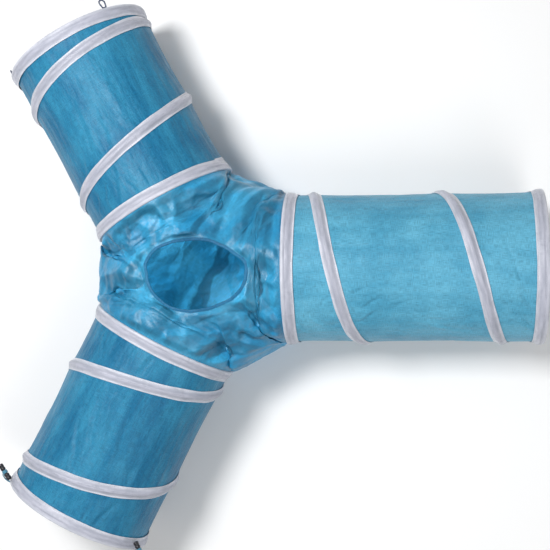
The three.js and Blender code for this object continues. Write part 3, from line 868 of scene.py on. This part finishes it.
def crumple(points, pinned, faces):
    """Slack cloth let fall between its seams, by simulation. Gives the points where it comes to rest."""
    rng = np.random.default_rng(5)
    used = np.unique(faces)
    back = np.full(len(points), -1)
    back[used] = np.arange(len(used))
    uneven = rng.normal(0, 0.0003, (len(used), 1)) * ~pinned[used][:, None]
    start = points[used] + mesh_normals(points, faces)[used] * uneven
    mesh = bpy.data.meshes.new("hub_slack")
    mesh.from_pydata(start.tolist(), [], back[faces].tolist())
    cloth = added("hub_slack", mesh)
    group = cloth.vertex_groups.new(name="sewn")
    group.add([int(k) for k in np.nonzero(pinned[used])[0]], 1.0, "REPLACE")
    modifier = cloth.modifiers.new("Cloth", "CLOTH")
    for key, value in CLOTH.items():
        setattr(modifier.settings, key, value)
    for key, value in CLOTH_COLLISION.items():
        setattr(modifier.collision_settings, key, value)
    slab = bpy.data.meshes.new("hub_ground")
    slab.from_pydata(square(0.5, -0.0006), [], [(0, 1, 2, 3)])
    ground = added("hub_ground", slab)
    ground.modifiers.new("Collision", "COLLISION")
    ground.collision.thickness_outer = 0.001
    scene = bpy.context.scene
    modifier.point_cache.frame_start = 1
    modifier.point_cache.frame_end = 60
    for number in range(1, CLOTH_FRAMES + 1):
        scene.frame_set(number)
    done = cloth.evaluated_get(bpy.context.evaluated_depsgraph_get()).to_mesh()
    found = np.empty(len(used) * 3)
    done.vertices.foreach_get("co", found)
    scene.frame_set(1)
    result = points.copy()
    result[used] = found.reshape(-1, 3)
    for made in (cloth, ground):
        bpy.data.objects.remove(made, do_unlink=True)
    return result


def finer(points, faces, columns, extra):
    """One smoothing subdivision of a triangle mesh (Loop's scheme), keeping its borders. Extra is
    one row of other values a point, which are only averaged."""
    ends = np.sort(faces[:, [0, 1, 1, 2, 2, 0]].reshape(-1, 2), axis=1)
    pairs, which = np.unique(ends, axis=0, return_inverse=True)
    which = which.reshape(-1)
    opposite = faces[:, [2, 0, 1]].reshape(-1)
    uses = np.bincount(which, minlength=len(pairs))
    far = np.zeros((len(pairs), 3))
    np.add.at(far, which, points[opposite])
    inside = uses == 2
    fresh = points[pairs].mean(1)
    fresh[inside] = 0.375 * points[pairs[inside]].sum(1) + 0.125 * far[inside]
    total = np.zeros_like(points)
    degree = np.zeros(len(points))
    for k in range(2):
        np.add.at(total, pairs[:, k], points[pairs[:, 1 - k]])
        np.add.at(degree, pairs[:, k], 1)
    weight = 0.375
    moved = points * (1 - weight) + total / np.maximum(degree, 1)[:, None] * weight
    fixed = np.union1d(np.unique(pairs[~inside]), np.nonzero(degree == 0)[0])
    moved[fixed] = points[fixed]
    ahead = columns[pairs[:, 1]] - columns[pairs[:, 0]]
    ahead = np.mod(ahead + COLUMNS / 2, COLUMNS) - COLUMNS / 2
    new_columns = np.mod(columns[pairs[:, 0]] + ahead / 2, COLUMNS)
    new = which.reshape(-1, 3) + len(points)
    a, b, c = faces.T
    ab, bc, ca = new.T
    split = np.stack([a, ab, ca, ab, b, bc, ca, bc, c, ab, bc, ca], -1).reshape(-1, 3)
    return (
        np.concatenate([moved, fresh]),
        split,
        np.concatenate([columns, new_columns]),
        np.concatenate([extra, extra[pairs].mean(1)]),
    )


def facets(x, y, size, seed):
    """Heights, from -1 to 1, of a surface of flat triangles between points of random height."""
    table = np.random.default_rng(seed).uniform(-1, 1, (64, 64))
    v = y / (size * 0.866)
    u = x / size - v / 2
    i, j = np.floor(u).astype(int), np.floor(v).astype(int)
    a, b = u - i, v - j
    near, right = table[i % 64, j % 64], table[(i + 1) % 64, j % 64]
    ahead, far = table[i % 64, (j + 1) % 64], table[(i + 1) % 64, (j + 1) % 64]
    return np.where(
        a + b > 1,
        far + (1 - a) * (ahead - far) + (1 - b) * (right - far),
        near + a * (right - near) + b * (ahead - near),
    )


def crisp_folds(points, seed):
    """Heights of crumpled taffeta: flat facets with sharp edges, drawn out in several directions."""
    x = points[:, 0] + 0.8 * points[:, 2] + 0.5
    y = points[:, 1] + 0.7 * points[:, 2] + 0.5
    height = np.zeros(len(points))
    for number, (size, depth, degrees, stretch) in enumerate(FOLDS):
        angle = math.radians(degrees)
        warp = 0.5 * size
        along = (x * math.cos(angle) + y * math.sin(angle)) / stretch
        across = y * math.cos(angle) - x * math.sin(angle)
        along = along + warp * lattice(x / (2 * size), y / (2 * size), seed + 2 * number)
        across = across + warp * lattice(x / (2 * size), y / (2 * size), seed + 2 * number + 1)
        height += depth * facets(along, across, size, seed + number)
    return height


# Folds in the hub's cloth: the distance from fold to fold, their height, and the way they are
# drawn out, in degrees, and by how much.
FOLDS = [(0.034, 0.0070, 35, 1.6), (0.021, 0.0042, 120, 1.7), (0.012, 0.0018, 75, 1.5)]
hub_points, hub_columns, hub_top, hub_pinned, hub_faces, hub_flat, hub_free = build_hub()
hub_points = crumple(hub_points, hub_pinned, hub_faces)
is_floor_face = (~hub_top[hub_faces]).any(1)
hub_face_columns = hub_columns[hub_faces]
spread = np.mod(hub_face_columns - hub_face_columns[:, :1] + COLUMNS / 2, COLUMNS) - COLUMNS / 2
hub_face_middle = np.mod(hub_face_columns[:, 0] + spread.mean(1), COLUMNS)
points, faces, columns = hub_points, hub_faces, hub_columns
extra = np.column_stack([hub_flat, hub_free])
for _ in range(2):
    points, faces, columns, extra = finer(points, faces, columns, extra)
face_floor = np.repeat(is_floor_face, 16)
face_arm = np.floor(np.mod(hub_face_middle + 2, COLUMNS) / COLUMNS_PER_ARM).astype(int)
face_arm = np.repeat(face_arm, 16)
rough_normals = mesh_normals(points, faces)
held = smooth_step(0.15, 1.6, extra[:, 2])
held = held * (0.45 + 0.55 * np.maximum(smooth_step(0.06, 0.17, points[:, 2]), points[:, 2] < 0.02))
points = points + rough_normals * (crisp_folds(points, 3) * held)[:, None]
points[:, 2] = np.maximum(points[:, 2], CLOTH_REST)
normals = mesh_normals(points, faces)
# Painted fold shading, kept for the colour: how far each fold turns the cloth towards a fixed light from
# the upper left, 0.5 where it doesn't.
painted_fold_shade = np.clip(0.5 + 1.3 * (normals - rough_normals) @ np.array([-0.55, 0.65, 0.5]), 0, 1)
painted_fold_shade = np.repeat(painted_fold_shade[:, None], 3, axis=1)
cloth_coords = np.column_stack([extra[:, :2], np.zeros(len(points))])


def hub_sector(arm_index, floor):
    """The share of a hub panel that meets one arm, as a thin closed shell."""
    arm = ARMS[arm_index]
    chosen = faces[(face_arm == arm_index) & (face_floor == floor)]
    used = np.unique(chosen)
    back = np.full(len(points), -1)
    back[used] = np.arange(len(used))
    skin = back[chosen]
    out_points = points[used]
    out_normals = normals[used]
    inner = out_points - out_normals * CLOTH_THICKNESS
    count = len(used)
    edges = {}
    for a, b, c in skin.tolist():
        for e in ((a, b), (b, c), (c, a)):
            edges[e] = True
    border = [(a, b) for a, b in edges if (b, a) not in edges]
    all_faces = skin.tolist() + [(c + count, b + count, a + count) for a, b, c in skin.tolist()]
    all_faces += [(b, a, a + count, b + count) for a, b in border]
    name = f"hub_{'floor' if floor else 'top'}_taffeta_{arm.name}"
    # The fold attribute carries the painted fold shading.
    made = piece(
        name,
        np.concatenate([out_points, inner]),
        all_faces,
        HUB_FLOOR_BLUE if floor else HUB_BLUE,
        {"cloth": np.concatenate([cloth_coords[used]] * 2), "fold": np.concatenate([painted_fold_shade[used]] * 2)},
        np.concatenate([out_normals, -out_normals]),
    )
    a, b, c = (out_points[skin[:, k]] for k in range(3))
    area = float(np.linalg.norm(np.cross(b - a, c - a), axis=1).sum() / 2)
    # How far out along the arm the points this sector shares with the others reach, plus half a
    # millimetre.
    other = np.unique(faces[face_arm != arm_index])
    shared = np.intersect1d(used, other)
    border_at = float((points[shared] @ arm.out).max()) + 0.0005
    return made, area, border_at


for arm_index, arm in enumerate(ARMS):
    for floor in (False, True):
        made, area, border_at = hub_sector(arm_index, floor)
        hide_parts("hub_floor_panel" if floor else "hub_top_panel")
        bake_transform(made)


def make_hem():
    """The peephole's rolled hem: a flat fold of cloth with its row of stitches."""
    bearing = round_angles(360)
    middle = peephole_edge(bearing, 0.0)
    tangent = np.roll(middle, -1, 0) - np.roll(middle, 1, 0)
    tangent = unit(tangent)
    side = np.cross(tangent, UP)
    side = unit(side)
    rise = np.cross(side, tangent)
    ring = round_angles(20)[None, :]
    half = 0.0026 + 0.0003 * lattice(bearing[:, None] * 20, np.zeros((360, 1)), 71)
    tall = 0.0011 + 0.0003 * lattice(bearing[:, None] * 30, np.ones((360, 1)), 72)
    across = half * np.sign(np.cos(ring)) * np.abs(np.cos(ring)) ** 0.8
    height = tall * np.sin(ring) - 0.0004 * np.exp(-((across - 0.0012) / 0.0005) ** 2) * (np.sin(ring) > 0)
    points = middle[:, None] + across[..., None] * side[:, None] + height[..., None] * rise[:, None]
    faces = [f[::-1] for f in grid_faces(360, 20, closed_rows=True)]
    loop = np.concatenate([middle, middle[:1]])
    sides = np.concatenate([side, side[:1]])
    row = loop + sides * 0.0012 + UP * 0.0008
    thread = stitches(row, sides, np.broadcast_to(UP, row.shape), pitch=0.003, length=0.002)
    points, faces = join([(points, faces), thread])
    cloth = points * (1, 1, 0)
    return piece("peephole_hem", points, faces, HEM_BLUE, {"cloth": cloth})


hem = make_hem()
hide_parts("peephole_binding")
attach(hem, "hub")


# ---- Ties ----
def turned_to(axis):
    """A rotation that takes +Y to an axis."""
    return np.array(Vector((0, 1, 0)).rotation_difference(Vector(axis)).to_matrix())


def lathe(profile, sides):
    """Points and faces of a closed round shape about Y, from (radius, height) pairs."""
    profile = np.array(profile)
    angle = round_angles(sides)[None, :]
    r, y = profile[:, 0][:, None], profile[:, 1][:, None]
    points = np.stack([r * np.cos(angle), y + 0 * angle, r * np.sin(angle)], -1)
    faces = [f[::-1] for f in grid_faces(len(profile), sides)]
    faces.append(list(range(sides)))
    faces.append([(len(profile) - 1) * sides + k for k in range(sides)][::-1])
    return points.reshape(-1, 3), faces


TOGGLE_HALF = 0.015
TOGGLE_RADIUS = 0.0042
WAIST_RADIUS = 0.0030
TAB_HALF = 0.00275
lower_arm = ARMS[2]
TOGGLES = [
    ("toggle_right_side", -0.010, 157, -28, -1),
    ("toggle_left_side", -0.005, 25, 38, 1),
]


def barrel_profile():
    """Half of the barrel's outline from its rounded end to its waist, then the other half."""
    half = [
        (0.0006, TOGGLE_HALF), (0.0016, TOGGLE_HALF), (0.0026, TOGGLE_HALF - 0.0002),
        (0.0034, TOGGLE_HALF - 0.0007),
        (0.0039, TOGGLE_HALF - 0.0014), (TOGGLE_RADIUS, TOGGLE_HALF - 0.0024), (TOGGLE_RADIUS, 0.0092),
        (0.0038, 0.0088), (0.0037, 0.0084), (0.0038, 0.0080), (TOGGLE_RADIUS, 0.0076),
        (TOGGLE_RADIUS, 0.0050),
        (0.0039, 0.0042), (0.0034, 0.0035), (WAIST_RADIUS, 0.0031),
    ]
    return half + [(r, -y) for r, y in reversed(half)]


def make_tab(full, side, axis, spin, at):
    """The fabric tab: a soft band round the toggle's waist and a folded strip to the hoop's edge."""
    band = []
    for k in range(9):
        y = TAB_HALF * (k / 4 - 1)
        band.append((WAIST_RADIUS + 0.0003 + 0.0011 * (1 - 0.35 * abs(k / 4 - 1) ** 3), y))
    inner_band = [(WAIST_RADIUS + 0.0002, y) for _, y in reversed(band)]
    ring_profile = np.array(band + inner_band)
    angles = round_angles(48)[:, None]
    band_radius, band_height = ring_profile.T
    outer_side = band_radius > WAIST_RADIUS + 0.0003
    radius = band_radius + 0.00012 * np.sin(9 * angles) * outer_side
    ring_points = np.broadcast_arrays(radius * np.cos(angles), band_height, radius * np.sin(angles))
    ring_points = np.stack(ring_points, -1)
    ring_points = ring_points.reshape(-1, 3) @ spin.T + at
    ring_faces = grid_faces(48, len(ring_profile), closed_rows=True)
    hoop_round = math.radians(90 - side * 76)
    clear = lower_arm.length + HOOP_TO_FOLD + 0.00335
    fold_at = lower_arm.points(clear, 0.123, hoop_round)
    bulge_at = lower_arm.points(clear, 0.140, hoop_round)
    away = bulge_at - at
    away = away - axis * (away @ axis)
    away /= np.linalg.norm(away)
    begin = at + away * (WAIST_RADIUS + 0.0010)
    t = np.linspace(0, 1, 28)[:, None]
    path = (1 - t) ** 2 * begin + 2 * (1 - t) * t * bulge_at + t**2 * fold_at
    tangent = unit(np.gradient(path, axis=0))
    flat_way = unit(np.cross(tangent, axis))
    ring = round_angles(16)
    across = TAB_HALF * np.sign(np.cos(ring)) * np.abs(np.cos(ring)) ** 0.5
    edge_roll = 1 + 0.5 * np.exp(-((np.abs(across) - 0.0019) / 0.0004) ** 2)
    thick = 0.0007 * np.sign(np.sin(ring)) * np.abs(np.sin(ring)) ** 0.6 * edge_roll
    strip = path[:, None] + across[None, :, None] * axis + thick[None, :, None] * flat_way[:, None]
    strip_points, strip_faces = swept(strip)
    parts = [(ring_points, ring_faces), (strip_points, strip_faces)]
    sewn_path = path[3:-2]
    across_tab = np.broadcast_to(axis, sewn_path.shape)
    thread = {"pitch": 0.0022, "length": 0.0015, "width": 0.00035}
    for w in (-0.0013, 0.0013):
        for face_side in (1, -1):
            facing_way = flat_way[3:-2] * face_side
            row = sewn_path + axis * w + facing_way * 0.00075
            parts.append(stitches(row, across_tab, facing_way, **thread))
    points, faces = join(parts)
    return piece(full + "_tab_folded", points, faces, TAB_BLUE)


for name, along, round_degrees, turn_degrees, side in TOGGLES:
    full = f"{lower_arm.name}_{name}"
    at = lower_arm.points(lower_arm.length + along, 0.140, math.radians(round_degrees))
    turn = math.radians(turn_degrees)
    axis = math.sin(turn) * lower_arm.out + side * math.cos(turn) * lower_arm.left
    spin = turned_to(axis)
    body_points, body_faces = lathe(barrel_profile(), 40)
    barrel = piece(full + "_barrel", body_points @ spin.T + at, body_faces, PLASTIC)
    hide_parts(full)
    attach(barrel, full)
    tab = make_tab(full, side, axis, spin, at)
    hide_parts(full + "_tab")
    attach(tab, full)


upper_arm = ARMS[1]
LOOPS = [("cord_loop_left_side", 8), ("cord_loop_upper_right", 131)]
CORD_RADIUS = 0.0012


def make_cord_loop(full, theta):
    """A closed loop of braided cord that hangs from the hoop's edge."""
    centre = upper_arm.points(upper_arm.length + HOOP_TO_FOLD + 0.0003, 0.1204, theta)
    across = -math.sin(theta) * upper_arm.left + math.cos(theta) * UP
    outward = math.cos(theta) * upper_arm.left + math.sin(theta) * UP
    corner, far = 0.005, 0.016 - CORD_RADIUS
    bends = np.linspace(0, math.pi, 9)
    control = [(far - corner + corner * math.sin(a), corner * math.cos(a)) for a in bends]
    neck = [(0.006, 0.86), (CORD_RADIUS * 1.3, 0.62), (CORD_RADIUS, 0.2)]
    control += [(x, -corner * share) for x, share in neck]
    control += [(x, corner * share) for x, share in reversed(neck)]
    control = np.array(control)
    # A smooth closed round through the control points.
    samples = 160
    t = np.linspace(0, len(control), samples, endpoint=False)
    i = np.floor(t).astype(int)
    f = (t - i)[:, None]
    p0, p1, p2, p3 = (control[(i + k) % len(control)] for k in (-1, 0, 1, 2))
    second, third = 2 * p0 - 5 * p1 + 4 * p2 - p3, 3 * p1 - p0 - 3 * p2 + p3
    route = 0.5 * (2 * p1 + (p2 - p0) * f + second * f**2 + third * f**3)
    path = centre + route[:, :1] * upper_arm.out + route[:, 1:] * across
    tangent = np.roll(path, -1, 0) - np.roll(path, 1, 0)
    tangent = unit(tangent)
    sideways = np.cross(tangent, outward)
    ring = round_angles(18)[None, :]
    turns = np.arange(samples)[:, None] / samples * TURN * 13
    braid = np.maximum(np.abs(np.cos(1.5 * ring + turns)), np.abs(np.cos(1.5 * ring - turns)))
    radius = CORD_RADIUS * (0.82 + 0.2 * braid)
    rise, slide = (radius * np.cos(ring))[..., None], (radius * np.sin(ring))[..., None]
    cord_points = path[:, None] + rise * outward + slide * sideways[:, None]
    return piece(full + "_braid", cord_points, grid_faces(samples, 18, closed_rows=True), NAVY)


for name, round_degrees in LOOPS:
    full = f"{upper_arm.name}_{name}"
    cord = make_cord_loop(full, math.radians(round_degrees))
    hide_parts(full)
    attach(cord, full)


# ---- Floor, light and camera ----
def floor_material():
    m = Nodes("pale_floor")
    grain = m.noise(m.coords(), 3.0, 2.0)
    m.link(m.ramp(grain, (0.3, (0.90, 0.90, 0.90)), (0.7, (0.92, 0.92, 0.92))), "Base Color")
    m.set(Roughness=0.9)
    return m.material


ground_mesh = bpy.data.meshes.new("floor")
SPAN = 6.0
ground_mesh.from_pydata(square(SPAN, -0.0008), [], [(0, 1, 2, 3)])
ground_mesh.materials.append(floor_material())
ground = added("floor", ground_mesh)

world = bpy.data.worlds.new("studio")
bpy.context.scene.world = world
world.use_nodes = True
background = next(n for n in world.node_tree.nodes if n.type == "BACKGROUND")
background.inputs["Color"].default_value = (1.0, 1.0, 1.0, 1.0)
background.inputs["Strength"].default_value = 0.34


def aim(made, at, target, up=(0, 1, 0)):
    back = (Vector(at) - Vector(target)).normalized()
    right = Vector(up).cross(back).normalized()
    turn = Matrix((right, back.cross(right), back)).transposed().to_4x4()
    made.matrix_world = Matrix.Translation(at) @ turn


def light(name, at, target, size, power):
    data = bpy.data.lights.new(name, "AREA")
    data.shape = "RECTANGLE"
    data.size, data.size_y = size
    data.energy = power
    aim(added(name, data), at, target)


# Name, place, where it points, size, and power in watts.
light("key", (-0.55, 0.42, 1.9), (0.05, 0.0, 0.1), (0.5, 0.5), 33)
light("fill", (1.1, -1.2, 2.0), (0.0, 0.0, 0.1), (1.2, 1.2), 17)

camera_data = bpy.data.cameras.new("camera")
camera_data.sensor_width = 36
camera_data.lens = 79.2
camera = added("camera", camera_data)
CAMERA_AT, CAMERA_TARGET, CAMERA_ROLL = (0.3562, -0.05, 2.1), (0.1205, -0.0098, 0.10), 0.0046
aim(camera, CAMERA_AT, CAMERA_TARGET, up=(CAMERA_ROLL, 1, 0))
bpy.context.scene.camera = camera
bpy.context.scene.view_settings.view_transform = "Standard"
